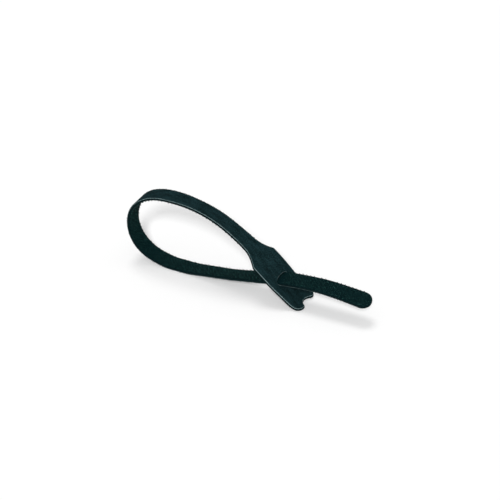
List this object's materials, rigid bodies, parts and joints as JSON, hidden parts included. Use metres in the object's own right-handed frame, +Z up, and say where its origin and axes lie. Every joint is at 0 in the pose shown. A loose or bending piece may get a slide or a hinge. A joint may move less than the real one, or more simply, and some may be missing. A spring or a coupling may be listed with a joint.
{
  "type": "hook and loop cable tie",
  "caption": "Hook and loop cable tie: a flat black strap with a wider, slotted and notched head, closed into a loop by its round tail passing through its own slot.",
  "frame": {"origin": "middle of the closed tie's bounding box, at its underside, on the surface it lies on", "axes": "+X along the loop's long axis towards the tail, +Y across the strap, +Z up"},
  "size_m": [0.1668, 0.0232, 0.0517],
  "materials": {
    "strap_fabric": "matte hook and loop fabric, black with a slight green-blue cast"
  },
  "bodies": {
    "root": {"cable_tie": "strap_fabric"}
  },
  "joints": []
}
